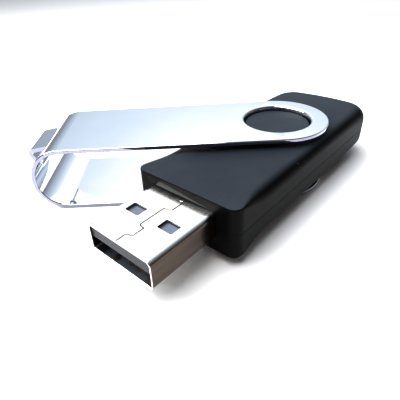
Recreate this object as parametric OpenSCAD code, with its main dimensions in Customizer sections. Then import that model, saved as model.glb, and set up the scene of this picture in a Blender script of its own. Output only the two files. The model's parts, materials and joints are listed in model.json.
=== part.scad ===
// Swivel flash drive: a rubberised body with a USB type A plug, and a bent steel clip that
// turns on two round bosses to cover the plug.
// Frame: the origin is the middle of the plug where it leaves the body, +X is the way the plug
// goes in, +Z is the side of the plug with the folded seam. All sizes are in millimetres.

/* [Plug] */
// Width of the plug shell
plug_w = 12; // [11.9:0.05:12.1]
// Thickness of the plug shell
plug_t = 4.5; // [4.45:0.05:4.55]
// Length of plug outside the body
plug_len = 12; // [11.8:0.1:14]
// Length of plug shell held inside the body
plug_root = 6; // [5:0.5:6]
// Sheet thickness of the plug shell
plug_sheet = 0.3; // [0.25:0.05:0.35]
// Outer corner radius of the plug shell
plug_corner = 0.8; // [0.6:0.1:1]

/* [Body] */
// Length of the body behind its front face
body_len = 45.5; // [43.5:0.5:50]
// Width of the body
body_w = 18.8; // [18.4:0.2:20]
// Thickness of the body
body_t = 8.2; // [8:0.1:8.4]
// How far the body's mid plane lies below the middle of the plug
body_drop = 0.3; // [0.1:0.1:0.4]
// Wall thickness of both shells
wall = 1.2; // [1:0.1:1.3]
// Radius of the long edges
edge_r = 2; // [1.6:0.1:2]
// Radius of the upright corners at the front
front_r = 2.2; // [2.1:0.1:2.6]
// Radius of the corners at the rear, in plan
rear_r = 4; // [3.5:0.5:4.5]
// Radius of the shallow arc across the rear end
rear_arc = 40; // [36:2:60]

/* [Swivel] */
// Distance from the body's front face back to the swivel axis
pivot_back = 25; // [24.5:0.25:25.5]
// Radius of the round boss on each shell
boss_r = 5.52; // [5.5:0.01:5.56]
// Height of each boss above its shell
boss_h = 0.8; // [0.7:0.05:0.85]
// Angle of the clip from the plug's direction, negative towards the left side
clip_angle = -48; // [-180:0.1:180]

/* [Clip] */
// Width of the clip
clip_w = 17; // [16.4:0.2:17.2]
// Sheet thickness of the clip
clip_sheet = 0.7; // [0.6:0.05:0.8]
// Distance from the swivel axis to the outside of the bend
clip_reach = 42.5; // [41.5:0.5:45]
// Gap between the body and each arm
clip_gap = 0.9; // [0.85:0.05:1]
// Radius where the rounded rim of the hole meets the arm
rim_r = 6.1; // [6.05:0.05:6.2]
// Radius inside the drawn collar of the hole
collar_r = 5.6; // [5.6:0.01:5.62]
// Gap between the collar's tip and the body
collar_gap = 0.15; // [0.1:0.05:0.25]

/* [Lanyard loop] */
// Width of the strip pushed out of the bend
loop_w = 8; // [5:0.5:9]
// Outer radius of the strip's arch
loop_r = 2.5; // [2.4:0.1:2.8]
// Height of the strip's arch above the bend
loop_out = 2; // [1.9:0.1:2.4]
// Angle of the arch round the bend, up from its middle
loop_tilt = 27; // [0:1:40]

/* [Board] */
// Thickness of the circuit board
board_t = 0.8; // [0.6:0.1:0.8]
// Width of the circuit board
board_w = 14.6; // [14:0.2:14.8]
// Width of the board between the plug's solder lugs
board_neck_w = 11.2; // [10.8:0.1:11.2]

/* [Hidden] */
$fn = 64;

// body
half_w = body_w / 2;
half_t = body_t / 2;
mid_z = -body_drop;
top_z = mid_z + half_t;
bottom_z = mid_z - half_t;
room_top_z = top_z - wall;
room_bottom_z = bottom_z + wall;
room_edge_r = 0.4;
boss_edge = 0.25;
post_r = 1.3;
post_pin_r = 0.7;
post_hole_r = 0.8;
post_pin_h = 1.4;
post_x = -39.2;
post_y = 5.2;
rib_x = -4;
rib_l = 1;
rib_w = 12;

// plug
void_top_z = 0.05;
inner_w = plug_w - 2 * plug_sheet;
inner_t = plug_t - 2 * plug_sheet;
inner_corner = plug_corner - plug_sheet;
mouth_recess = 0.3;
block_front_x = 2;
window_from_mouth = 5.2;
window_l = 1.95;
window_w = 2.5;
window_y = 3.1;
window_corner = 0.3;
pocket_depth = 0.2;
seam_w = 0.1;
seam_hook_r = 0.35;
lug_l = 2.4;
lug_top_z = -0.1;
lug_bottom_z = -1.6;

// The seam's path on the plug's upper face, from the mouth back, as [from mouth, across]
seam_path = [[-0.5, -0.2], [1.7, -0.2], [1.95, 0.05], [2, 0.5], [2.25, 0.75], [4, 0.75],
    [4.05, 0.05], [4.3, -0.2], [8.5, -0.2], [8.75, 0.05], [8.8, 0.75], [9.05, 1],
    [11, 1], [11.2, 0.8], [11.1, 0.35]];

// contacts
contact_t = 0.2;
contact_proud = 0.05;
contact_w = 1;
outer_contact_y = 3.5;
inner_contact_y = 1;
outer_contact_front = plug_len - 1.2;
inner_contact_front = plug_len - 2.2;
contact_tail_x = -8.6;
contact_bottom_z = void_top_z - contact_proud;

// board
board_front_x = -6.4;
board_rear_x = -41;
neck_rear_x = -9.2;
board_corner = 2;
board_top_z = contact_bottom_z;
board_bottom_z = board_top_z - board_t;
pad_t = 0.04;
pad_r = 0.7;
pad_count = 4;
pad_first_x = -27;
pad_pitch = 2.5;
lug_solder = [1.4, 0.6, 0.4];

// chips
lead_t = 0.14;
lead_w = 0.22;
lead_pitch = 0.5;
flash_l = 18.4;
flash_w = 12;
flash_t = 1;
flash_x = -27;
flash_leads_per_side = 24;
flash_lead_out = 0.8;
chip_standoff = 0.06;
controller_side = 7;
controller_t = 1;
controller_x = -19;
controller_leads_per_side = 12;
controller_lead_out = 1;
crystal_size = [5, 3.2, 0.8];
crystal_at = [-12.4, 4.4];
led_size = [0.8, 1.6, 0.6];
led_at = [-40.2, 0];
small_part = [1, 0.5, 0.5];
capacitor_places = [[-11, -5.4], [-11, -4], [-14.4, -5.4], [-14.4, -4], [-14.6, 0], [-11.6, 0]];
resistor_places = [[-12.7, -5.4], [-12.7, -4], [-38.9, 1.8], [-38.9, -1.8]];

// clip, in its own directions: u runs from the swivel axis to the bend, v runs across
arm_top_z = top_z + clip_gap + clip_sheet;
arm_bottom_z = bottom_z - clip_gap - clip_sheet;
bend_r = (arm_top_z - arm_bottom_z) / 2;
bend_z = (arm_top_z + arm_bottom_z) / 2;
bend_u = clip_reach - bend_r;
rim_round = rim_r - collar_r;
collar_wall = 0.6;
loop_u = bend_u + bend_r + loop_out - loop_r;
slot_half_z = loop_r - clip_sheet;
loop_leg = 0.8;
little = 0.01;
beyond = 80;

// A rectangle with round corners, centred
module rounded_rect(w, h, r) {
    square([w - 2 * r, h], center = true);
    square([w, h - 2 * r], center = true);
    for (sx = [-1, 1])
        for (sy = [-1, 1])
            translate([sx * (w / 2 - r), sy * (h / 2 - r)])
                circle(r);
}

// A bar along X whose section is a rounded rectangle of width w and height h
module bar_x(x0, x1, w, h, r) {
    translate([x0, 0, 0])
        rotate([90, 0, 90])
            linear_extrude(height = x1 - x0)
                rounded_rect(w, h, r);
}

// The section of a rounded-edge plate from radius a to radius b, for turning about an axis
module plate_section(a, b, h, edge) {
    translate([a, -h / 2])
        square([b - edge - a, h]);
    translate([a, -(h / 2 - edge)])
        square([b - a, h - 2 * edge]);
    for (s = [-1, 1])
        translate([b - edge, s * (h / 2 - edge)])
            circle(edge);
}

// The body's outer form, with every face moved in by inset
module body_form(inset, edge) {
    w = half_w - inset;
    h = 2 * (half_t - inset);
    r = rear_r - inset;
    big = rear_arc - inset;
    arc_x = rear_arc - body_len;
    side_y = w - r;
    spread = asin(side_y / (big - r));
    corner_x = arc_x - (big - r) * cos(spread);
    translate([0, 0, mid_z]) {
        intersection() {
            bar_x(corner_x, -inset, 2 * w, h, edge);
            front_plan(inset, h);
        }
        for (s = [0, 1])
            mirror([0, s, 0])
                translate([corner_x, side_y, 0])
                    rotate([0, 0, 90])
                        rotate_extrude(angle = 90 - spread)
                            plate_section(0, r, h, edge);
        translate([arc_x, 0, 0])
            rotate([0, 0, 180 - spread])
                rotate_extrude(angle = 2 * spread)
                    plate_section(big - r - 2, big, h, edge);
    }
}

// The body's plan near its front, with round upright corners
module front_plan(inset, h) {
    w = half_w - inset;
    r = max(front_r - inset, 0.5);
    l = 2 * body_len;
    translate([-inset - l / 2, 0, -h])
        linear_extrude(height = 2 * h)
            rounded_rect(l, 2 * w, r);
}

// The space that the plug shell fills in the front wall
module plug_hole() {
    bar_x(-plug_root, 1, plug_w, plug_t, plug_corner);
}

// A round boss that the clip turns on, standing up from z = 0
module boss() {
    rotate_extrude()
        intersection() {
            translate([0, boss_h / 2])
                square([3 * boss_r, boss_h], center = true);
            translate([0, boss_h - 3])
                plate_section(0, boss_r, 6, boss_edge);
            translate([0, -1])
                square([boss_r + 1, boss_h + 2]);
        }
}

// Everything above the mid plane, or below it where side is -1
module half_space(side) {
    translate([-beyond, -beyond, side > 0 ? mid_z : mid_z - beyond])
        cube([2 * beyond, 2 * beyond, beyond]);
}

// One hollow half of the body; side is 1 for the upper half and -1 for the lower
module shell(side) {
    difference() {
        intersection() {
            body_form(0, edge_r);
            half_space(side);
        }
        body_form(wall, room_edge_r);
        plug_hole();
    }
    translate([-pivot_back, 0, side > 0 ? top_z : bottom_z])
        mirror([0, 0, side > 0 ? 0 : 1])
            boss();
}

module upper_shell() {
    color("#24262a") {
        shell(1);
        translate([rib_x, -rib_w / 2, plug_t / 2])
            cube([rib_l, rib_w, room_top_z - plug_t / 2]);
        for (s = [-1, 1])
            translate([post_x, s * post_y, board_top_z])
                difference() {
                    cylinder(h = room_top_z - board_top_z, r = post_r);
                    translate([0, 0, -1])
                        cylinder(h = post_pin_h + 1.2, r = post_hole_r);
                }
    }
}

module lower_shell() {
    color("#1f2124") {
        shell(-1);
        translate([rib_x, -rib_w / 2, room_bottom_z])
            cube([rib_l, rib_w, -plug_t / 2 - room_bottom_z]);
        for (s = [-1, 1])
            translate([post_x, s * post_y, room_bottom_z]) {
                cylinder(h = board_bottom_z - room_bottom_z, r = post_r);
                cylinder(h = board_top_z + post_pin_h - room_bottom_z, r = post_pin_r);
            }
    }
}

// The plan of one arm: straight sides, and a round end about the swivel axis
module arm_plan() {
    circle(clip_w / 2);
    translate([0, -clip_w / 2])
        square([bend_u, clip_w]);
}

module arm(z0) {
    translate([0, 0, z0])
        linear_extrude(height = clip_sheet)
            difference() {
                arm_plan();
                circle(rim_r);
            }
}

// A strip of width w bent through a half circle about the axis at u, with straight legs
module bent_strip(u, outer, leg, w) {
    inner = outer - clip_sheet;
    translate([u, w / 2, bend_z])
        rotate([90, 0, 0])
            linear_extrude(height = w) {
                difference() {
                    circle(outer);
                    circle(inner);
                    translate([-2 * outer, -2 * outer])
                        square([2 * outer, 4 * outer]);
                }
                for (z = [inner, -outer])
                    translate([-leg, z])
                        square([leg, clip_sheet]);
            }
}

// The drawn collar of the upper arm's hole, with its rounded rim
module collar() {
    tip_z = top_z + collar_gap;
    rotate_extrude()
        difference() {
            union() {
                translate([collar_r, tip_z])
                    square([collar_wall, arm_top_z - tip_z]);
                translate([collar_r, arm_top_z - clip_sheet])
                    square([rim_round + little, clip_sheet]);
            }
            difference() {
                translate([collar_r - 1, arm_top_z - rim_round])
                    square([rim_round + 1, rim_round + 1]);
                translate([rim_r, arm_top_z - rim_round])
                    circle(rim_round);
            }
        }
}

module both_sides() {
    children();
    translate([0, 0, 2 * bend_z])
        mirror([0, 0, 1])
            children();
}

// Turns its children about the bend's axis, to where the lanyard loop stands
module tilted_on_bend() {
    translate([bend_u, 0, bend_z])
        rotate([0, -loop_tilt, 0])
            children();
}

module swivel_clip() {
    color("#d5dbe2")
        translate([-pivot_back, 0, 0])
            rotate([0, 0, clip_angle]) {
                arm(arm_top_z - clip_sheet);
                arm(arm_bottom_z);
                both_sides()
                    collar();
                difference() {
                    bent_strip(bend_u, bend_r, little, clip_w);
                    tilted_on_bend()
                        translate([0, -loop_w / 2, -slot_half_z])
                            cube([2 * bend_r, loop_w, 2 * slot_half_z]);
                }
                tilted_on_bend()
                    difference() {
                        translate([-bend_u, 0, -bend_z])
                            bent_strip(loop_u, loop_r, loop_leg, loop_w);
                        rotate([90, 0, 0])
                            cylinder(h = 2 * loop_w, r = bend_r - clip_sheet, center = true);
                    }
            }
}

// The seam's narrow gap, seen from above: straight runs with round joints
module seam_line() {
    for (i = [0 : len(seam_path) - 2]) {
        a = [plug_len - seam_path[i][0], seam_path[i][1]];
        b = [plug_len - seam_path[i + 1][0], seam_path[i + 1][1]];
        run = b - a;
        translate(a)
            rotate(atan2(run[1], run[0]))
                translate([0, -seam_w / 2])
                    square([norm(run), seam_w]);
        translate(b)
            circle(seam_w / 2);
    }
}

// The windows that a socket's springs catch, at both sides of one face
module windows() {
    for (s = [-1, 1])
        translate([plug_len - window_from_mouth - window_l / 2, s * window_y])
            rounded_rect(window_l, window_w, window_corner);
}

module usb_shell() {
    color("#dfe3e6") {
        difference() {
            bar_x(-plug_root, plug_len, plug_w, plug_t, plug_corner);
            bar_x(-plug_root - 1, plug_len + 1, inner_w, inner_t, inner_corner);
            translate([0, 0, -plug_t])
                linear_extrude(height = 2 * plug_t)
                    windows();
            linear_extrude(height = plug_t)
                seam_line();
        }
        for (s = [-1, 1])
            translate([-plug_root - lug_l, s * (plug_w - plug_sheet) / 2 - plug_sheet / 2, lug_bottom_z])
                cube([lug_l, plug_sheet, lug_top_z - lug_bottom_z]);
    }
}

// One contact: a flat spring strip along the tongue, ending on the board
module contact(y, front_x) {
    translate([contact_tail_x, y - contact_w / 2, contact_bottom_z])
        cube([front_x - contact_tail_x, contact_w, contact_t]);
}

module power_contact() {
    color("#d9b45a")
        contact(-outer_contact_y, outer_contact_front);
}

module data_minus_contact() {
    color("#d9b45a")
        contact(-inner_contact_y, inner_contact_front);
}

module data_plus_contact() {
    color("#d9b45a")
        contact(inner_contact_y, inner_contact_front);
}

module ground_contact() {
    color("#d9b45a")
        contact(outer_contact_y, outer_contact_front);
}

module contact_set() {
    power_contact();
    data_minus_contact();
    data_plus_contact();
    ground_contact();
}

module plug_insert() {
    color("#6c7484")
        difference() {
            bar_x(-plug_root, plug_len - mouth_recess, inner_w, inner_t, inner_corner);
            translate([block_front_x, -plug_w / 2, -plug_t])
                cube([plug_len, plug_w, plug_t + void_top_z]);
            translate([0, 0, inner_t / 2 - pocket_depth])
                linear_extrude(height = plug_t)
                    windows();
            contact_set();
        }
}

module board_outline() {
    translate([(board_rear_x + neck_rear_x) / 2, 0])
        rounded_rect(neck_rear_x - board_rear_x, board_w, board_corner);
    translate([neck_rear_x - board_corner, -board_neck_w / 2])
        square([board_front_x - neck_rear_x + board_corner, board_neck_w]);
}

module circuit_board() {
    color("#1f5c3a")
        translate([0, 0, board_bottom_z])
            linear_extrude(height = board_t)
                difference() {
                    board_outline();
                    for (s = [-1, 1])
                        translate([post_x, s * post_y])
                            circle(post_hole_r);
                }
}

// Bare copper pads under the board, where the maker's test pins touch
module board_pads() {
    color("#caa24a")
        for (i = [0 : pad_count - 1])
            translate([pad_first_x - pad_pitch * i, 0, board_bottom_z - pad_t])
                cylinder(h = pad_t, r = pad_r);
}

// A gull-wing lead's side view: foot, riser and shoulder
module lead_side(out, rise) {
    polygon([[0, rise], [out * 0.4, rise], [out * 0.4 + lead_t, lead_t], [out, lead_t], [out, 0],
        [out * 0.4, 0], [out * 0.4 - lead_t, rise - lead_t], [0, rise - lead_t]]);
}

// A row of leads that points to +X from the line x = 0
module lead_row(count, out, rise) {
    for (i = [0 : count - 1])
        translate([0, (i - (count - 1) / 2) * lead_pitch + lead_w / 2, 0])
            rotate([90, 0, 0])
                linear_extrude(height = lead_w)
                    lead_side(out, rise);
}

module flash_chip() {
    color("#17181a")
        translate([flash_x - flash_l / 2, -flash_w / 2, board_top_z + chip_standoff])
            cube([flash_l, flash_w, flash_t]);
}

module flash_leads() {
    color("#c9ccd0")
        for (turn = [0, 180])
            translate([flash_x, 0, board_top_z])
                rotate([0, 0, turn])
                    translate([flash_l / 2, 0, 0])
                        lead_row(flash_leads_per_side, flash_lead_out, chip_standoff + flash_t / 2);
}

module controller_chip() {
    color("#17181a")
        translate([controller_x - controller_side / 2, -controller_side / 2,
                board_bottom_z - chip_standoff - controller_t])
            cube([controller_side, controller_side, controller_t]);
}

module controller_leads() {
    color("#c9ccd0")
        for (turn = [0 : 90 : 270])
            translate([controller_x, 0, board_bottom_z])
                rotate([0, 0, turn])
                    mirror([0, 0, 1])
                        translate([controller_side / 2, 0, 0])
                            lead_row(controller_leads_per_side, controller_lead_out,
                                chip_standoff + controller_t / 2);
}

module crystal() {
    color("#c3c7cc")
        translate([crystal_at[0], crystal_at[1], board_top_z])
            linear_extrude(height = crystal_size[2])
                rounded_rect(crystal_size[0], crystal_size[1], 0.5);
}

module activity_led() {
    color("#e9e4c8")
        translate([led_at[0] - led_size[0] / 2, led_at[1] - led_size[1] / 2, board_top_z])
            cube(led_size);
}

module small_parts(places) {
    for (p = places)
        translate([p[0] - small_part[0] / 2, p[1] - small_part[1] / 2, board_top_z])
            cube(small_part);
}

module capacitors() {
    color("#b59a73")
        small_parts(capacitor_places);
}

module resistors() {
    color("#26282b")
        small_parts(resistor_places);
}

// Solder at the end of each contact and beside each lug of the plug shell
module solder_joints() {
    color("#b9bec4") {
        for (y = [-outer_contact_y, -inner_contact_y, inner_contact_y, outer_contact_y])
            translate([contact_tail_x, y, board_top_z])
                intersection() {
                    cylinder(h = contact_t, r = contact_w / 2);
                    translate([-contact_w, -contact_w, 0])
                        cube([contact_w, 2 * contact_w, contact_t]);
                }
        for (s = [-1, 1])
            translate([-plug_root - lug_l / 2, s * board_neck_w / 2, board_bottom_z])
                mirror([0, s > 0 ? 0 : 1, 0])
                    lug_fillet();
    }
}

// Solder that fills the corner under the board beside a lug
module lug_fillet() {
    reach = (inner_w - board_neck_w) / 2;
    translate([-lug_solder[0] / 2, -lug_solder[1], -lug_solder[2]])
        cube([lug_solder[0], lug_solder[1] + reach, lug_solder[2]]);
}

upper_shell();
lower_shell();
swivel_clip();
usb_shell();
plug_insert();
power_contact();
data_minus_contact();
data_plus_contact();
ground_contact();
circuit_board();
board_pads();
controller_chip();
controller_leads();
flash_chip();
flash_leads();
crystal();
activity_led();
capacitors();
resistors();
solder_joints();
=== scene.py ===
"""Looks of a swivel flash drive: rubberised body, polished steel clip and USB plug."""
import json
import math
import bmesh
import bpy
from mathutils import Matrix, Vector


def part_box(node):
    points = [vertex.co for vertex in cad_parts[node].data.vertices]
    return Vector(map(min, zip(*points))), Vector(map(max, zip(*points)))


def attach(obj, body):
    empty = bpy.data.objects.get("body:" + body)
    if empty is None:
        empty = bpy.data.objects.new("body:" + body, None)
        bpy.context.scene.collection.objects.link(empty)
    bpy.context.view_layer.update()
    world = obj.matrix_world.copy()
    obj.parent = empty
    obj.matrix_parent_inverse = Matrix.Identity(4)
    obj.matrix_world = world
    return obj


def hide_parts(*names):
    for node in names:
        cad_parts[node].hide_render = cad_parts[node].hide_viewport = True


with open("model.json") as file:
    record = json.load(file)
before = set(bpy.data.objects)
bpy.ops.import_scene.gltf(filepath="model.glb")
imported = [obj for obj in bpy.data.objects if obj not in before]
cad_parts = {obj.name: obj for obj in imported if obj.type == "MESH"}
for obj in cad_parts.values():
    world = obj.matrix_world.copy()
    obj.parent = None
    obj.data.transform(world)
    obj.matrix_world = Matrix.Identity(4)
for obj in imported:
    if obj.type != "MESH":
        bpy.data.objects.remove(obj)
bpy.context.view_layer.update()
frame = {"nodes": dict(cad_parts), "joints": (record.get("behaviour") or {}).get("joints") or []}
MM = 0.001
QUARTER = math.pi / 2

# ---------------------------------------------------------------- sizes, in millimetres


def node_box(name):
    """The low and high corners of a CAD node's box."""
    low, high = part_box(name)
    return low / MM, high / MM


UPPER_LOW, UPPER_HIGH = node_box("upper_shell")
LOWER_LOW = node_box("lower_shell")[0]
CLIP_LOW, CLIP_HIGH = node_box("swivel_clip")
PLUG_HIGH = node_box("usb_shell")[1]
PIVOT = Vector(frame["joints"][0]["pos_m"]) / MM

# the body: plan, top edge and bosses
BOSS_R = 5.52
BOSS_H = 0.8
BOSS_FILLET = 0.12
BOSS_EDGE = 0.28
HALF_W = UPPER_HIGH.y
BODY_LEN = -UPPER_LOW.x
MID_Z = UPPER_LOW.z
TOP_Z = UPPER_HIGH.z - BOSS_H
BOTTOM_Z = LOWER_LOW.z + BOSS_H
FRONT_R = 1.6
REAR_R = 4.6
REAR_ARC = 38.0
FRONT_EDGE_R = 0.16
SIDE_EDGE_R = 1.9
REAR_EDGE_R = 2.7
FRONT_EDGE_RUN = 7.0
REAR_EDGE_RUN = 12.0
SHELL_WALL = 1.1
SEAM_CHAMFER = 0.05
PLUG_HOLE_FROM = -3.0
PLUG_HOLE_TO = 2.0
PLUG_HOLE_GAP = 0.06

# the clip: bent sheet, collars and lanyard loop
CLIP_ANGLE = math.radians(-48)
CLIP_W = 17.0
SHEET = 0.7
CLIP_REACH = 42.5
CLIP_EDGE = 0.17
RIM_R = 6.1
COLLAR_R = 5.6
COLLAR_WALL = 0.6
COLLAR_GAP = 0.15
COLLAR_TIP = 0.12
COLLAR_FOOT = 0.15
COLLAR_FOOT_EDGE = 0.04
BEND_R = (CLIP_HIGH.z - CLIP_LOW.z) / 2
BEND_Z = (CLIP_HIGH.z + CLIP_LOW.z) / 2
BEND_U = CLIP_REACH - BEND_R
BEND_MID_R = BEND_R - SHEET / 2
BEND_LEN = math.pi * BEND_MID_R
SHEET_LEN = 2 * BEND_U + BEND_LEN
LOOP_W = 8.0
LOOP_OUT = 2.0
LOOP_TILT = math.radians(27)
LOOP_TURN_R = 0.5
LOOP_TIP_R = 0.55
SLOT_ANGLE = math.radians(24)

# the plug: sheet tube, windows and folded seam
PLUG_W = 12.0
PLUG_T = 4.5
PLUG_CORNER = 0.8
PLUG_SHEET = 0.3
PLUG_ROOT = 6.0
PLUG_LEN = PLUG_HIGH.x
PLUG_BEVEL = 0.035
WINDOW_FROM_MOUTH = 5.2
WINDOW_SIZE = (1.95, 2.5)
WINDOW_Y = 3.1
WINDOW_CORNER = 0.22
SEAM_W = 0.15
SEAM_DEEP = 0.08
# this and the next two size a black sheet under the seam groove, painted shade that darkens the gap
SEAM_OVERLAP = 0.02
SEAM_SHADE_SHEET_LOW = 0.05
SEAM_SHADE_SHEET_HIGH = 0.04
SEAM_PATH = ((0.12, -0.2), (1.7, -0.2), (1.95, 0.05), (2, 0.5), (2.25, 0.75), (4, 0.75),
             (4.05, 0.05), (4.3, -0.2), (8.5, -0.2), (8.75, 0.05), (8.8, 0.75), (9.05, 1),
             (11, 1), (11.2, 0.8), (11.1, 0.35))

# how finely round stretches are divided
ROUND_STEPS = 96
EDGE_STEPS = 8
CORNER_STEPS = 16
SIDE_STEPS = 26
REAR_STEPS = 20
ARM_END_STEPS = 56
BEND_STEPS = 60

# ---------------------------------------------------------------- mesh helpers


def evenly(start, end, steps):
    """Evenly spaced values from start to end, both included."""
    return [start + (end - start) * i / steps for i in range(steps + 1)]


def new_piece(name, bm, sharp=32):
    """A smooth-shaded object from a bmesh drawn in millimetres."""
    bmesh.ops.recalc_face_normals(bm, faces=bm.faces)
    bmesh.ops.scale(bm, vec=(MM, MM, MM), verts=bm.verts)
    mesh = bpy.data.meshes.new(name)
    for face in bm.faces:
        face.smooth = True
    bm.to_mesh(mesh)
    bm.free()
    mesh.set_sharp_from_angle(angle=math.radians(sharp))
    piece = bpy.data.objects.new(name, mesh)
    bpy.context.scene.collection.objects.link(piece)
    return piece


def add_ring(bm, points):
    return [bm.verts.new(p) for p in points]


def skin(bm, rings, closed=True):
    """Quads between neighbouring rings of the same count."""
    for a, b in zip(rings, rings[1:]):
        count = len(a)
        for i in range(count if closed else count - 1):
            j = (i + 1) % count
            bm.faces.new((a[i], a[j], b[j], b[i]))


def loop_edges(bm, verts, closed=True):
    """The edges along a row of vertices, made where they are missing."""
    count = len(verts)
    edges = []
    for i in range(count if closed else count - 1):
        pair = (verts[i], verts[(i + 1) % count])
        edges.append(bm.edges.get(pair) or bm.edges.new(pair))
    return edges


def fill_between(bm, edges, normal):
    bmesh.ops.triangle_fill(bm, use_beauty=True, use_dissolve=False, edges=edges, normal=normal)


def circle_points(cx, cy, r, z):
    turn = 2 * math.pi / ROUND_STEPS
    return [(cx + r * math.cos(i * turn), cy + r * math.sin(i * turn), z) for i in range(ROUND_STEPS)]


def smoothstep(t):
    t = min(max(t, 0.0), 1.0)
    return t * t * (3 - 2 * t)


def weighted(piece):
    """Keeps flat faces flat beside small rounded edges."""
    modifier = piece.modifiers.new("weighted", "WEIGHTED_NORMAL")
    modifier.keep_sharp = True
    modifier.weight = 80
    return piece


def apply_modifiers(piece):
    graph = bpy.context.evaluated_depsgraph_get()
    mesh = bpy.data.meshes.new_from_object(piece.evaluated_get(graph))
    piece.modifiers.clear()
    old = piece.data
    piece.data = mesh
    bpy.data.meshes.remove(old)


def cut(piece, cutters):
    """Subtracts each cutter from the piece and deletes the cutters."""
    for cutter in cutters:
        modifier = piece.modifiers.new("cut", "BOOLEAN")
        modifier.operation = "DIFFERENCE"
        modifier.solver = "EXACT"
        modifier.object = cutter
    apply_modifiers(piece)
    for cutter in cutters:
        bpy.data.objects.remove(cutter)


def rounded_rect(w, h, r, steps):
    """Points and outward normals round a rectangle with round corners."""
    out = []
    for quarter, (sx, sy) in enumerate(((1, 1), (-1, 1), (-1, -1), (1, -1))):
        for a in evenly(quarter * QUARTER, (quarter + 1) * QUARTER, steps):
            n = Vector((math.cos(a), math.sin(a)))
            out.append((Vector((sx * (w / 2 - r), sy * (h / 2 - r))) + n * r, n))
    return out


def prism(name, outline, z0, z1):
    bm = bmesh.new()
    low = add_ring(bm, [(x, y, z0) for x, y in outline])
    high = add_ring(bm, [(x, y, z1) for x, y in outline])
    skin(bm, [low, high])
    bm.faces.new(low)
    bm.faces.new(high)
    return new_piece(name, bm)


# ---------------------------------------------------------------- body


def edge_radius(x):
    """The top edge is nearly sharp at the front, soft along the sides and softest at the rear."""
    front = FRONT_EDGE_R + (SIDE_EDGE_R - FRONT_EDGE_R) * smoothstep(-x / FRONT_EDGE_RUN)
    rear = (REAR_EDGE_R - SIDE_EDGE_R) * smoothstep(1 - (x + BODY_LEN) / REAR_EDGE_RUN)
    return front + rear


def body_outline():
    """Points, outward normals and top edge radii round the body's plan."""
    out = []

    def arc(cx, cy, r, a0, a1, steps):
        for a in evenly(a0, a1, steps):
            n = Vector((math.cos(a), math.sin(a)))
            p = Vector((cx, cy)) + n * r
            out.append((p, n, edge_radius(p.x)))

    def side(x0, x1, y):
        n = Vector((0, math.copysign(1, y)))
        for x in evenly(x0, x1, SIDE_STEPS)[1:-1]:
            out.append((Vector((x, y)), n, edge_radius(x)))

    arc_x = REAR_ARC - BODY_LEN
    side_y = HALF_W - REAR_R
    spread = math.asin(side_y / (REAR_ARC - REAR_R))
    corner_x = arc_x - (REAR_ARC - REAR_R) * math.cos(spread)
    front_y = HALF_W - FRONT_R
    arc(-FRONT_R, front_y, FRONT_R, 0, QUARTER, CORNER_STEPS)
    side(-FRONT_R, corner_x, HALF_W)
    arc(corner_x, side_y, REAR_R, QUARTER, math.pi - spread, REAR_STEPS)
    arc(arc_x, 0, REAR_ARC, math.pi - spread, math.pi + spread, REAR_STEPS)
    arc(corner_x, -side_y, REAR_R, math.pi + spread, 3 * QUARTER, REAR_STEPS)
    side(corner_x, -FRONT_R, -HALF_W)
    arc(-FRONT_R, -front_y, FRONT_R, 3 * QUARTER, 4 * QUARTER, CORNER_STEPS)
    kept = [out[0]]
    for point in out[1:]:
        if (point[0] - kept[-1][0]).length > 1e-4:
            kept.append(point)
    return kept


def boss_profile():
    """(radius, height) up a boss: a small fillet, the wall, a rounded edge and the flat top."""
    profile = [(BOSS_R + BOSS_FILLET, 0)]
    for a in evenly(0, QUARTER, 3)[1:]:
        profile.append((BOSS_R + BOSS_FILLET * (1 - math.sin(a)), BOSS_FILLET * (1 - math.cos(a))))
    for a in evenly(0, QUARTER, 6):
        profile.append((BOSS_R - BOSS_EDGE * (1 - math.cos(a)), BOSS_H - BOSS_EDGE * (1 - math.sin(a))))
    return profile + [(BOSS_R * 0.6, BOSS_H), (BOSS_R * 0.25, BOSS_H)]


def body_half(name, side):
    """One moulded half: walls with a soft top edge, a flat face and the round boss. side is 1 or -1."""
    face_z = TOP_Z if side > 0 else BOTTOM_Z
    bm = bmesh.new()
    outline = body_outline()
    rings = [
        add_ring(bm, [(*(p - n * SEAM_CHAMFER), MID_Z) for p, n, e in outline]),
        add_ring(bm, [(*p, MID_Z + side * SEAM_CHAMFER) for p, n, e in outline]),
    ]
    for a in evenly(0, QUARTER, EDGE_STEPS):
        inset = 1 - math.cos(a)
        drop = side * (1 - math.sin(a))
        rings.append(add_ring(bm, [(*(p - n * e * inset), face_z - e * drop) for p, n, e in outline]))
    skin(bm, rings)
    boss = [add_ring(bm, circle_points(PIVOT.x, PIVOT.y, r, face_z + side * h)) for r, h in boss_profile()]
    skin(bm, boss)
    bm.faces.new(boss[-1])
    fill_between(bm, loop_edges(bm, rings[-1]) + loop_edges(bm, boss[0]), (0, 0, side))
    bm.normal_update()
    piece = new_piece(name, bm, sharp=50)
    thickness = piece.modifiers.new("wall", "SOLIDIFY")
    thickness.thickness = SHELL_WALL * MM
    thickness.offset = -1
    cut(piece, [plug_section_prism("plug_hole", PLUG_HOLE_FROM, PLUG_HOLE_TO, PLUG_HOLE_GAP)])
    return weighted(piece)


def plug_section_prism(name, x0, x1, grow):
    """A bar along X with the plug's section, grown all round."""
    bm = bmesh.new()
    section = rounded_rect(PLUG_W + 2 * grow, PLUG_T + 2 * grow, PLUG_CORNER + grow, 8)
    ends = [add_ring(bm, [(x, p.x, p.y) for p, n in section]) for x in (x0, x1)]
    skin(bm, ends)
    bm.faces.new(ends[0])
    bm.faces.new(ends[1])
    return new_piece(name, bm)


# ---------------------------------------------------------------- clip

ARM_STATIONS = [7.0, 14.0, 24.0]
BEND_STATIONS = evenly(BEND_U, BEND_U + BEND_LEN, BEND_STEPS)
SIDE_STATIONS = ARM_STATIONS + BEND_STATIONS + [SHEET_LEN - s for s in reversed(ARM_STATIONS)]
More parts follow.
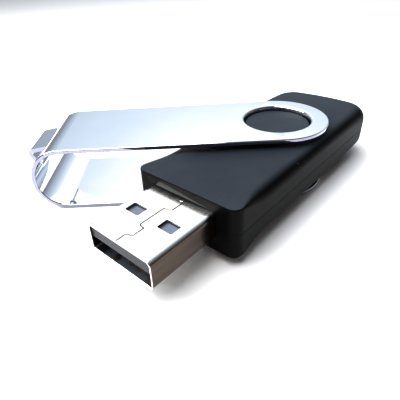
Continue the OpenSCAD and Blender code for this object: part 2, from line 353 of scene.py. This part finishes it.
# where the bend starts along the outline's first side, and where it ends along the other
BEND_FIRST = ARM_END_STEPS + 1 + len(ARM_STATIONS)
BEND_BACK = 2 * (ARM_END_STEPS + 1) + len(SIDE_STATIONS) + len(ARM_STATIONS)


def clip_place():
    """Turns (u, v, z) on the clip into the part's own frame."""
    return Matrix.Translation(Vector((PIVOT.x, PIVOT.y, 0))) @ Matrix.Rotation(CLIP_ANGLE, 4, "Z")


def on_sheet(s, v, w):
    """A point on the bent sheet: s along it from the upper hole, v across, w out of its middle layer."""
    if s <= BEND_U:
        return Vector((s, v, BEND_Z + BEND_MID_R + w))
    if s >= BEND_U + BEND_LEN:
        return Vector((SHEET_LEN - s, v, BEND_Z - BEND_MID_R - w))
    a = (s - BEND_U) / BEND_MID_R
    r = BEND_MID_R + w
    return Vector((BEND_U + r * math.sin(a), v, BEND_Z + r * math.cos(a)))


def sheet_circle(centre, r, w):
    """A circle on the sheet about the point at s = centre on its middle line."""
    return [on_sheet(centre + x, y, w) for x, y, z in circle_points(0, 0, r, 0)]


def edge_profile(r, steps):
    """(inset, w) from the outer face's edge, round the sheet's rim, to the inner face's edge."""
    out = [(r * (1 - math.sin(a)), SHEET / 2 - r * (1 - math.cos(a))) for a in evenly(0, QUARTER, steps)]
    return out + [(inset, -w) for inset, w in reversed(out)]


def flat_pattern():
    """The clip's outline before bending, as (s, v, normal s, normal v): round ends and straight sides."""
    half = CLIP_W / 2
    out = []
    for centre, start, side, row in ((0.0, QUARTER, -1, SIDE_STATIONS),
                                     (SHEET_LEN, -QUARTER, 1, SIDE_STATIONS[::-1])):
        for a in evenly(start, start + math.pi, ARM_END_STEPS):
            out.append((centre + half * math.cos(a), half * math.sin(a), math.cos(a), math.sin(a)))
        out += [(s, side * half, 0, side) for s in row]
    return out


def slot_ends():
    """The first and last bend station of the slot that the loop is pushed out of."""
    middle = QUARTER - LOOP_TILT
    inside = [i for i, s in enumerate(BEND_STATIONS)
              if abs((s - BEND_U) / BEND_MID_R - middle) <= SLOT_ANGLE + 1e-6]
    return inside[0], inside[-1]


def bend_face(bm, ring, w):
    """One face of the bend, open at the slot. Returns its rows of four vertices, side to side."""
    first, last = slot_ends()
    rows = []
    for i, s in enumerate(BEND_STATIONS):
        inner = [bm.verts.new(on_sheet(s, v, w)) for v in (-LOOP_W / 2, LOOP_W / 2)]
        rows.append([ring[BEND_FIRST + i], *inner, ring[BEND_BACK + BEND_STEPS - i]])
    for i in range(BEND_STEPS):
        for c in range(3):
            if c == 1 and first <= i < last:
                continue
            bm.faces.new((rows[i][c], rows[i][c + 1], rows[i + 1][c + 1], rows[i + 1][c]))
    return rows


def arm_face(bm, centre, border, row, w):
    """One flat face of an arm, between its border and the bend's row. Returns the ring of its hole."""
    edges = loop_edges(bm, border, closed=False) + loop_edges(bm, row, closed=False)
    r = RIM_R if w > 0 else COLLAR_R + COLLAR_WALL + COLLAR_FOOT
    hole = add_ring(bm, sheet_circle(centre, r, w))
    edges += loop_edges(bm, hole)
    looks_up = (centre == 0) == (w > 0)
    fill_between(bm, edges, (0, 0, 1 if looks_up else -1))
    return hole


def loop_section():
    """The loop strip's middle line about the bend's axis, as (x, z, angle of its outward normal)."""
    hub = Vector((math.cos(SLOT_ANGLE), math.sin(SLOT_ANGLE))) * (BEND_MID_R + LOOP_TURN_R)
    tip = Vector((BEND_R + LOOP_OUT - SHEET / 2 - LOOP_TIP_R, 0))
    reach = hub - tip
    lean = math.atan2(reach.y, reach.x) - math.acos((LOOP_TURN_R + LOOP_TIP_R) / reach.length)
    rise = [(hub.x - LOOP_TURN_R * math.cos(a), hub.y - LOOP_TURN_R * math.sin(a), a)
            for a in evenly(SLOT_ANGLE, lean, 5)[1:]]
    arch = [(tip.x + LOOP_TIP_R * math.cos(a), LOOP_TIP_R * math.sin(a), a)
            for a in evenly(lean, -lean, 16)]
    return rise + arch + [(x, -z, -a) for x, z, a in reversed(rise)]


def add_loop(bm, outer, inner):
    """The slot's side walls, and the strip that turns out at its ends and meets in a rounded tip."""
    first, last = slot_ends()
    for c in (1, 2):
        skin(bm, [[rows[i][c] for i in range(first, last + 1)] for rows in (outer, inner)], closed=False)
    tilt = Matrix.Rotation(-LOOP_TILT, 3, "Y")
    across = Vector((0, LOOP_W / 2, 0))
    strip = [[outer[first][1], outer[first][2], inner[first][2], inner[first][1]]]
    for x, z, a in loop_section():
        middle = Vector((BEND_U, 0, BEND_Z)) + tilt @ Vector((x, 0, z))
        out = tilt @ Vector((math.cos(a), 0, math.sin(a))) * SHEET / 2
        strip.append([bm.verts.new(p) for p in (middle + out - across, middle + out + across,
                                                middle - out + across, middle - out - across)])
    strip.append([outer[last][1], outer[last][2], inner[last][2], inner[last][1]])
    skin(bm, strip)


def collar_profile():
    """(radius, w) along a drawn collar: rounded rim, bore, tip and the wall back up to the sheet."""
    round_r = RIM_R - COLLAR_R
    wall_r = COLLAR_R + COLLAR_WALL
    tip_w = (TOP_Z + COLLAR_GAP) - (BEND_Z + BEND_MID_R)
    out = [(RIM_R - round_r * math.sin(a), SHEET / 2 - round_r * (1 - math.cos(a)))
           for a in evenly(0, QUARTER, 8)[1:]]
    out += [(COLLAR_R, tip_w + COLLAR_TIP), (COLLAR_R + COLLAR_TIP, tip_w)]
    out += [(wall_r - COLLAR_TIP, tip_w), (wall_r, tip_w + COLLAR_TIP)]
    out += [(wall_r, -SHEET / 2 - COLLAR_FOOT), (wall_r + COLLAR_FOOT_EDGE, -SHEET / 2 - COLLAR_FOOT_EDGE)]
    return out


def clip_sheet():
    """The whole clip as one sheet: rounded rim, bend, two arms with collared holes, and the loop."""
    bm = bmesh.new()
    outline = flat_pattern()
    rings = [add_ring(bm, [on_sheet(s - ns * inset, v - nv * inset, w) for s, v, ns, nv in outline])
             for inset, w in edge_profile(CLIP_EDGE, 5)]
    skin(bm, rings)
    bends, holes = [], []
    for ring, w in ((rings[0], SHEET / 2), (rings[-1], -SHEET / 2)):
        rows = bend_face(bm, ring, w)
        upper_border = ring[BEND_BACK + BEND_STEPS:] + ring[:BEND_FIRST + 1]
        lower_border = ring[BEND_FIRST + BEND_STEPS:BEND_BACK + 1]
        bends.append(rows)
        holes.append([arm_face(bm, 0.0, upper_border, rows[0], w),
                      arm_face(bm, SHEET_LEN, lower_border, rows[-1], w)])
    add_loop(bm, *bends)
    for centre, start, end in zip((0.0, SHEET_LEN), *holes):
        collar = [add_ring(bm, sheet_circle(centre, r, w)) for r, w in collar_profile()]
        skin(bm, [start, *collar, end])
    bmesh.ops.transform(bm, matrix=clip_place(), verts=bm.verts)
    return weighted(new_piece("clip_sheet", bm, sharp=40))


# ---------------------------------------------------------------- plug


def seam_outline(width):
    """The folded seam's narrow gap as one closed outline in the plug's plane."""
    points = [Vector((PLUG_LEN - a, y)) for a, y in SEAM_PATH]
    left, right = [], []
    for i, p in enumerate(points):
        before = (p - points[i - 1]).normalized() if i else None
        after = (points[i + 1] - p).normalized() if i + 1 < len(points) else None
        n1 = Vector((-before.y, before.x)) if before else None
        n2 = Vector((-after.y, after.x)) if after else None
        n = ((n1 + n2) / (1 + n1.dot(n2))) if n1 and n2 else (n1 or n2)
        left.append(p + n * width / 2)
        right.append(p - n * width / 2)
    return [tuple(p) for p in left + right[::-1]]


def plug_shell():
    """The plug's sheet metal: a rounded tube with a rolled mouth, windows and a folded seam."""
    bm = bmesh.new()
    section = rounded_rect(PLUG_W, PLUG_T, PLUG_CORNER, 10)
    lip = PLUG_SHEET / 2
    rings = [(-PLUG_ROOT, 0.0)]
    for a in evenly(0, math.pi, EDGE_STEPS):
        rings.append((PLUG_LEN - lip + lip * math.sin(a), lip - lip * math.cos(a)))
    rings.append((-PLUG_ROOT, PLUG_SHEET))
    loops = [add_ring(bm, [(x, *(p - n * d)) for p, n in section]) for x, d in rings]
    skin(bm, loops + [loops[0]])
    piece = new_piece("plug_shell", bm)
    window_x = PLUG_LEN - WINDOW_FROM_MOUTH - WINDOW_SIZE[0] / 2
    window = rounded_rect(*WINDOW_SIZE, WINDOW_CORNER, 5)
    cutters = []
    for s in (-1, 1):
        outline = [(window_x + p.x, s * WINDOW_Y + p.y) for p, n in window]
        cutters.append(prism("window", outline, -PLUG_T, PLUG_T))
    cutters.append(prism("seam", seam_outline(SEAM_W), PLUG_T / 2 - SEAM_DEEP, PLUG_T))
    cut(piece, cutters)
    bevel = piece.modifiers.new("edges", "BEVEL")
    bevel.width = PLUG_BEVEL * MM
    bevel.segments = 2
    bevel.limit_method = "ANGLE"
    bevel.angle_limit = math.radians(50)
    return weighted(piece)


def seam_shade_sheet():
    """A black sheet under the folded seam's groove: painted shade that makes the narrow gap look dark."""
    low = PLUG_T / 2 - PLUG_SHEET + SEAM_SHADE_SHEET_LOW
    high = PLUG_T / 2 - SEAM_DEEP + SEAM_SHADE_SHEET_HIGH
    return prism("seam_shade_sheet", seam_outline(SEAM_W + SEAM_OVERLAP), low, high)


# ---------------------------------------------------------------- materials


class Nodes:
    """A short way to write shader nodes."""

    def __init__(self, name):
        self.material = bpy.data.materials.new(name)
        self.material.use_nodes = True
        self.tree = self.material.node_tree
        self.shader = self.tree.nodes["Principled BSDF"]
        texture = self.add("ShaderNodeTexCoord")
        self.coords = texture.outputs["Object"]
        self.normals = texture.outputs["Normal"]

    def add(self, kind, **settings):
        node = self.tree.nodes.new(kind)
        for key, value in settings.items():
            if hasattr(node, key):
                setattr(node, key, value)
            else:
                node.inputs[key.replace("_", " ")].default_value = value
        return node

    def link(self, a, b):
        self.tree.links.new(a, b)

    def stretched(self, scale, turn=0.0):
        mapping = self.add("ShaderNodeMapping")
        mapping.inputs["Scale"].default_value = scale
        mapping.inputs["Rotation"].default_value = (0, 0, turn)
        self.link(self.coords, mapping.inputs["Vector"])
        return mapping.outputs["Vector"]

    def noise(self, scale, detail=4, roughness=0.55, vector=None):
        node = self.add("ShaderNodeTexNoise", Scale=scale, Detail=detail, Roughness=roughness)
        self.link(vector or self.coords, node.inputs["Vector"])
        return node.outputs["Fac"]

    def facing(self, axis):
        """How far the surface looks along X (0), Y (1) or Z (2)."""
        parts = self.add("ShaderNodeSeparateXYZ")
        self.link(self.normals, parts.inputs[0])
        return parts.outputs[axis]

    def ramp(self, value, low, high, a, b):
        node = self.add("ShaderNodeMapRange")
        node.inputs["From Min"].default_value = low
        node.inputs["From Max"].default_value = high
        node.inputs["To Min"].default_value = a
        node.inputs["To Max"].default_value = b
        self.link(value, node.inputs["Value"])
        return node.outputs["Result"]

    def mix(self, factor, a, b):
        node = self.add("ShaderNodeMix", data_type="RGBA")
        self.link(factor, node.inputs["Factor"])
        for index, value in ((6, a), (7, b)):
            if isinstance(value, tuple):
                node.inputs[index].default_value = (*value, 1)
            else:
                self.link(value, node.inputs[index])
        return node.outputs[2]

    def math(self, operation, a, b):
        node = self.add("ShaderNodeMath", operation=operation)
        for index, value in enumerate((a, b)):
            if isinstance(value, (int, float)):
                node.inputs[index].default_value = value
            else:
                self.link(value, node.inputs[index])
        return node.outputs[0]

    def bump(self, height, strength, distance):
        node = self.add("ShaderNodeBump", Strength=strength, Distance=distance)
        self.link(height, node.inputs["Height"])
        self.link(node.outputs["Normal"], self.shader.inputs["Normal"])

    def set(self, **values):
        for key, value in values.items():
            socket = self.shader.inputs[key.replace("_", " ")]
            if isinstance(value, (int, float, tuple)):
                socket.default_value = value
            else:
                self.link(value, socket)


def soft_touch():
    """Black rubberised paint: fine satin grain, a few dust specks, and painted light: a lighter slate
    sheen where it looks up, near black where it looks sideways.
    """
    m = Nodes("soft_touch")
    cloud = m.noise(90, 5)
    fine = m.noise(5200, 3, 0.7)
    specks = m.ramp(m.noise(1100, 2, 0.4), 0.76, 0.79, 0.0, 0.5)
    # painted light: faces that look up get a lighter slate sheen, faces that look sideways stay near black
    top = m.mix(m.ramp(cloud, 0.35, 0.65, 0, 1), (0.027, 0.033, 0.042), (0.034, 0.042, 0.052))
    base = m.mix(m.ramp(m.facing(2), 0.75, 0.98, 0, 1), (0.0015, 0.0016, 0.0018), top)
    m.set(Base_Color=m.mix(specks, base, (0.09, 0.09, 0.085)),
          Roughness=m.ramp(fine, 0.3, 0.7, 0.36, 0.46),
          IOR=1.45, Specular_IOR_Level=0.13)
    m.bump(fine, 0.12, 0.00003)
    return m.material


def polished_steel():
    """Mirror-polished stainless sheet with hairlines along it and a trace of handling haze; the sheet's
    cut edges get a painted dark bluish reflection.
    """
    m = Nodes("polished_steel")
    hairs = m.noise(700, 4, 0.7, m.stretched((0.05, 3.0, 1.0), -CLIP_ANGLE))
    haze = m.noise(160, 4)
    # painted reflection: the clip's cut edges, the faces that look across it, are darkened to a bluish
    # grey
    across = m.add("ShaderNodeVectorMath", operation="DOT_PRODUCT")
    across.inputs[1].default_value = (-math.sin(CLIP_ANGLE), math.cos(CLIP_ANGLE), 0)
    m.link(m.normals, across.inputs[0])
    edge = m.ramp(m.math("ABSOLUTE", across.outputs["Value"], 0), 0.45, 0.9, 0, 1)
    faces = m.mix(haze, (0.80, 0.82, 0.86), (0.88, 0.89, 0.91))
    # edges is the painted dark reflection colour of the cut edges
    edges = m.mix(hairs, (0.26, 0.27, 0.34), (0.40, 0.41, 0.50))
    m.set(Base_Color=m.mix(edge, faces, edges), Metallic=1.0,
          Roughness=m.math("ADD", m.ramp(haze, 0.4, 0.75, 0.05, 0.10), m.ramp(hairs, 0.5, 0.8, 0.0, 0.05)))
    m.bump(hairs, 0.05, 0.000004)
    return m.material


def plug_steel():
    """Nickel-plated steel, bright with fine drawing marks along the plug; its sides get a painted dark
    brown reflection.
    """
    m = Nodes("plug_steel")
    drawn = m.noise(900, 4, 0.7, m.stretched((0.06, 2.5, 2.5)))
    haze = m.noise(260, 3)
    # painted reflection: the plug's sides, the faces that look along Y, are darkened to a warm brown
    side = m.ramp(m.math("ABSOLUTE", m.facing(1), 0), 0.55, 0.95, 0, 1)
    faces = m.mix(haze, (0.84, 0.83, 0.81), (0.90, 0.90, 0.89))
    # sides is the painted dark brown reflection colour of the plug's sides
    sides = m.mix(drawn, (0.05, 0.038, 0.032), (0.15, 0.12, 0.10))
    m.set(Base_Color=m.mix(side, faces, sides), Metallic=1.0,
          Roughness=m.math("ADD", m.ramp(haze, 0.35, 0.7, 0.15, 0.22), m.ramp(drawn, 0.4, 0.8, 0.0, 0.08)))
    m.bump(drawn, 0.1, 0.000006)
    return m.material


def moulded(name, dark, light, roughness, front=None):
    """Moulded plastic, resin or ceramic with a fine grain; front, when given, is a painted shade colour
    for what looks along +X.
    """
    m = Nodes(name)
    grain = m.noise(1800, 3, 0.6)
    colour = m.mix(m.noise(300, 4), dark, light)
    # painted shade: when front is given, what looks along +X takes that darker colour
    if front:
        colour = m.mix(m.ramp(m.facing(0), 0.5, 0.9, 0, 1), colour, front)
    m.set(Base_Color=colour, IOR=1.5,
          Roughness=m.ramp(grain, 0.3, 0.7, roughness - 0.06, roughness + 0.06))
    m.bump(grain, 0.15, 0.00002)
    return m.material


def plated(name, dark, light, roughness):
    """Plated or tinned metal with slight tarnish."""
    m = Nodes(name)
    tarnish = m.noise(700, 4)
    m.set(Base_Color=m.mix(m.ramp(tarnish, 0.35, 0.7, 0, 1), light, dark), Metallic=1.0,
          Roughness=m.ramp(tarnish, 0.3, 0.75, roughness, roughness + 0.15))
    m.bump(tarnish, 0.08, 0.00001)
    return m.material


def board_material():
    """Green solder mask over a woven laminate."""
    m = Nodes("board_laminate")
    weave = m.math("MULTIPLY", m.noise(1200, 2, 0.5, m.stretched((1, 0.1, 1))),
                   m.noise(1200, 2, 0.5, m.stretched((0.1, 1, 1))))
    m.set(Base_Color=m.mix(m.ramp(weave, 0.15, 0.35, 0, 1), (0.012, 0.10, 0.045), (0.03, 0.17, 0.08)),
          Roughness=m.ramp(weave, 0.1, 0.4, 0.28, 0.4), IOR=1.5, Coat_Weight=0.4)
    m.bump(weave, 0.1, 0.00002)
    return m.material


# ---------------------------------------------------------------- the object


def place(piece, body, slot, material, *nodes):
    """Gives a piece its material, hangs it on its body's empty and hides the CAD nodes it stands for; slot
    is not used.
    """
    piece.data.materials.clear()
    piece.data.materials.append(material)
    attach(piece, body)
    if nodes:
        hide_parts(*nodes)


rubber = soft_touch()
for half_name, half_side, half_node in (("body_top", 1, "upper_shell"), ("body_base", -1, "lower_shell")):
    place(body_half(half_name, half_side), "body", "soft_touch_body", rubber, half_node)
place(clip_sheet(), "clip", "polished_steel", polished_steel(), "swivel_clip")
place(plug_shell(), "body", "plug_steel", plug_steel(), "usb_shell")

# the last colour is painted shade on the insert's face in the plug's mouth
insert = moulded("insert_plastic", (0.10, 0.12, 0.155), (0.125, 0.15, 0.19), 0.42, (0.022, 0.024, 0.031))
# painted shade: a black sheet under the seam groove darkens the narrow gap
seam_shade_material = moulded("seam_painted_shade", (0.006, 0.005, 0.005), (0.012, 0.011, 0.01), 0.7)
place(seam_shade_sheet(), "body", "plug_steel", seam_shade_material)
gold = plated("contact_gold", (0.70, 0.50, 0.20), (0.90, 0.70, 0.34), 0.2)
tin = plated("tinned", (0.52, 0.53, 0.55), (0.75, 0.76, 0.78), 0.25)
epoxy = moulded("chip_epoxy", (0.012, 0.012, 0.013), (0.022, 0.022, 0.024), 0.55)
NODE_MATERIALS = {
    "plug_insert": insert,
    "power_contact": gold,
    "data_minus_contact": gold,
    "data_plus_contact": gold,
    "ground_contact": gold,
    "circuit_board": board_material(),
    "board_pads": plated("board_copper", (0.68, 0.45, 0.2), (0.86, 0.64, 0.34), 0.25),
    "controller_chip": epoxy,
    "controller_leads": tin,
    "flash_chip": epoxy,
    "flash_leads": tin,
    "crystal": plated("crystal_can", (0.6, 0.6, 0.61), (0.8, 0.8, 0.81), 0.3),
    "activity_led": moulded("led_resin", (0.75, 0.72, 0.55), (0.88, 0.86, 0.72), 0.3),
    "capacitors": moulded("capacitor_ceramic", (0.36, 0.25, 0.14), (0.48, 0.35, 0.21), 0.35),
    "resistors": moulded("resistor_ceramic", (0.02, 0.02, 0.022), (0.035, 0.035, 0.04), 0.35),
    "solder_joints": plated("solder", (0.5, 0.51, 0.53), (0.72, 0.73, 0.75), 0.18),
}
for node_name, node_material in NODE_MATERIALS.items():
    node_object = frame["nodes"][node_name]
    node_object.data.materials.clear()
    node_object.data.materials.append(node_material)

# ---------------------------------------------------------------- stage, light and camera

FLOOR_Z = CLIP_LOW.z
FLOOR_HALF = 600
SOFTBOX_AT = (216, 44)
SOFTBOX_STRENGTH = 1.25
SOFTBOX_STOPS = (
    (0.0, (0.17, 0.155, 0.14, 1)),
    (0.35, (0.20, 0.18, 0.16, 1)),
    (0.66, (0.27, 0.29, 0.33, 1)),
    (0.82, (0.48, 0.55, 0.64, 1)),
    (0.91, (0.68, 0.75, 0.83, 1)),
    (0.965, (1.0, 1.0, 1.0, 1)),
    (0.985, (1.15, 1.15, 1.12, 1)),
)


def add_floor():
    bm = bmesh.new()
    bmesh.ops.create_grid(bm, x_segments=8, y_segments=8, size=FLOOR_HALF)
    bmesh.ops.translate(bm, vec=(0, 0, FLOOR_Z), verts=bm.verts)
    floor = new_piece("floor", bm)
    m = Nodes("floor_paper")
    paper = m.noise(400, 4)
    m.set(Base_Color=m.mix(paper, (0.90, 0.90, 0.91), (0.93, 0.93, 0.935)), Roughness=0.85)
    floor.data.materials.append(m.material)


def add_area(name, at, target, size, power):
    light = bpy.data.lights.new(name, "AREA")
    light.shape = "RECTANGLE"
    light.size = size[0] * MM
    light.size_y = size[1] * MM
    light.energy = power
    holder = bpy.data.objects.new(name, light)
    holder.location = Vector(at) * MM
    aim = (Vector(target) - Vector(at)).to_track_quat("-Z", "Y")
    holder.rotation_euler = aim.to_euler()
    bpy.context.scene.collection.objects.link(holder)


def direction(azimuth, elevation):
    a, e = math.radians(azimuth), math.radians(elevation)
    return Vector((math.cos(e) * math.cos(a), math.cos(e) * math.sin(a), math.sin(e)))


def add_world():
    """A dim room with one broad soft box: white in its middle, pale blue towards its edge."""
    world = bpy.data.worlds.new("studio")
    world.use_nodes = True
    tree = world.node_tree
    coords = tree.nodes.new("ShaderNodeTexCoord")
    dot = tree.nodes.new("ShaderNodeVectorMath")
    dot.operation = "DOT_PRODUCT"
    dot.inputs[1].default_value = direction(*SOFTBOX_AT)
    ramp = tree.nodes.new("ShaderNodeValToRGB")
    stops = ramp.color_ramp.elements
    stops[0].position, stops[0].color = SOFTBOX_STOPS[0]
    stops[1].position, stops[1].color = SOFTBOX_STOPS[-1]
    for position, colour in SOFTBOX_STOPS[1:-1]:
        stops.new(position).color = colour
    background = tree.nodes["Background"]
    background.inputs["Strength"].default_value = SOFTBOX_STRENGTH
    tree.links.new(coords.outputs["Generated"], dot.inputs[0])
    tree.links.new(dot.outputs["Value"], ramp.inputs["Fac"])
    tree.links.new(ramp.outputs["Color"], background.inputs["Color"])
    bpy.context.scene.world = world


def add_camera(at, azimuth, elevation, roll, lens, shift):
    """A camera whose back looks towards azimuth and elevation; at is in millimetres, angles in degrees."""
    r = math.radians(roll)
    back = direction(azimuth, elevation)
    level = Vector((0, 0, 1)).cross(back).normalized()
    rise = back.cross(level)
    right = level * math.cos(r) + rise * math.sin(r)
    up = rise * math.cos(r) - level * math.sin(r)
    data = bpy.data.cameras.new("camera")
    data.lens = lens
    data.sensor_width = 36
    data.shift_x, data.shift_y = shift
    data.clip_start = 0.001
    data.clip_end = 10
    camera = bpy.data.objects.new("camera", data)
    turned = Matrix((right, up, back)).transposed().to_4x4()
    camera.matrix_world = Matrix.Translation(Vector(at) * MM) @ turned
    bpy.context.scene.collection.objects.link(camera)
    bpy.context.scene.camera = camera


add_floor()
add_world()
add_area("key", at=(60, -80, 205), target=(-10, -8, 0), size=(280, 280), power=1.5)
add_camera(at=(30.73, 30.11, 31.95), azimuth=45.59, elevation=33.34, roll=-4.48, lens=33.54,
           shift=(0.0623, -0.0263))
view = bpy.context.scene.view_settings
view.view_transform = "Standard"
view.exposure = 0.15
view.gamma = 0.75

bpy.context.view_layer.update()
